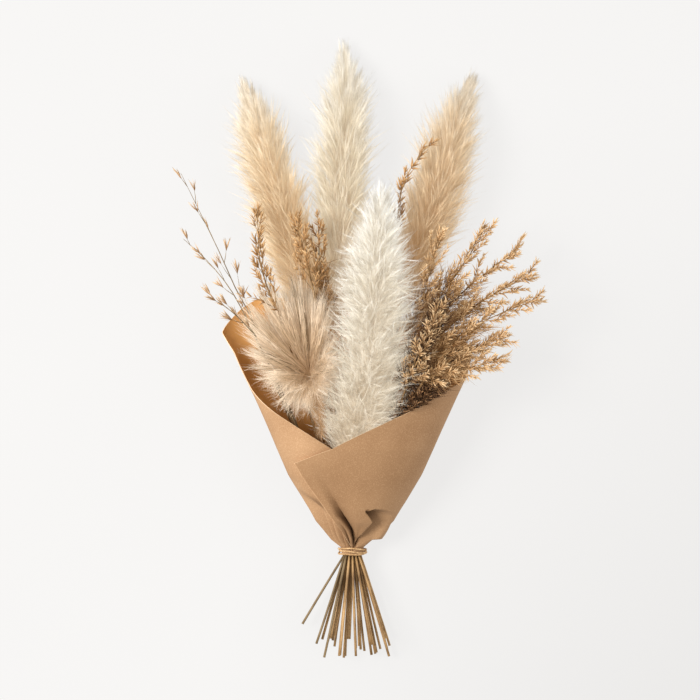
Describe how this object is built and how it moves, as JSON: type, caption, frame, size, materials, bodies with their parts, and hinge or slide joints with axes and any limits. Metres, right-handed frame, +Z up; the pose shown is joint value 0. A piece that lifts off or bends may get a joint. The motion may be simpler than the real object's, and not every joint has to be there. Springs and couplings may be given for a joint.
{
  "type": "bundle of pampas grass",
  "caption": "Dried pampas grass plumes, a fan plume, oat stems and brown sprays in a kraft paper wrap tied with twine, lying on its back.",
  "frame": {"origin": "on the surface that the bundle lies on, under the middle of the flat back of the paper wrap, 130 mm toward the plumes from the twine", "axes": "+Y along the bundle from the cut stem ends to the plume tips, +Z up from the surface, the front of the bouquet facing +Z, +X to the right seen from above with the plumes away"},
  "size_m": [0.402, 0.7143, 0.1379],
  "materials": {
    "kraft_paper": "matt brown kraft paper with fine fibres",
    "jute_twine": "twisted jute",
    "ivory_plume": "soft dry plume hair, ivory with a beige heart",
    "cream_plume": "soft dry plume hair, cream",
    "golden_plume": "soft dry plume hair, golden tan",
    "tan_plume": "soft dry plume hair, warm tan",
    "blush_plume": "straight silky fibres, dusty blush beige",
    "brown_spikelets": "dry brown spikelets and twigs",
    "oat_spikelets": "dry oat spikelets on grey olive stems",
    "straw_stem": "dry straw stems, fine lengthwise lines"
  },
  "bodies": {
    "root": {"paper_wrap": "kraft_paper", "twine_tie": "jute_twine", "plume_left": "golden_plume", "plume_left_stem": "straw_stem", "plume_back": "cream_plume", "plume_back_stem": "straw_stem", "plume_right": "tan_plume", "plume_right_stem": "straw_stem", "plume_front": "ivory_plume", "plume_front_stem": "straw_stem", "plume_fan": "blush_plume", "plume_fan_stem": "straw_stem", "oat_spray_tall": "oat_spikelets", "oat_spray_side": "oat_spikelets", "oat_spray_low": "oat_spikelets", "brown_sprig_left": "brown_spikelets", "brown_spray_a": "brown_spikelets", "brown_spray_b": "brown_spikelets", "brown_sprig_centre": "brown_spikelets", "spray_top": "brown_spikelets", "spray_upper": "brown_spikelets", "spray_outer_a": "brown_spikelets", "spray_outer_b": "brown_spikelets", "spray_outer_c": "brown_spikelets", "spray_side": "brown_spikelets", "spray_low": "brown_spikelets", "bushy_spray_a": "brown_spikelets", "bushy_spray_b": "brown_spikelets", "bushy_spray_c": "brown_spikelets", "loose_stem_1": "straw_stem", "loose_stem_2": "straw_stem", "loose_stem_3": "straw_stem", "loose_stem_4": "straw_stem", "loose_stem_5": "straw_stem", "loose_stem_6": "straw_stem", "loose_stem_7": "straw_stem"}
  },
  "joints": []
}
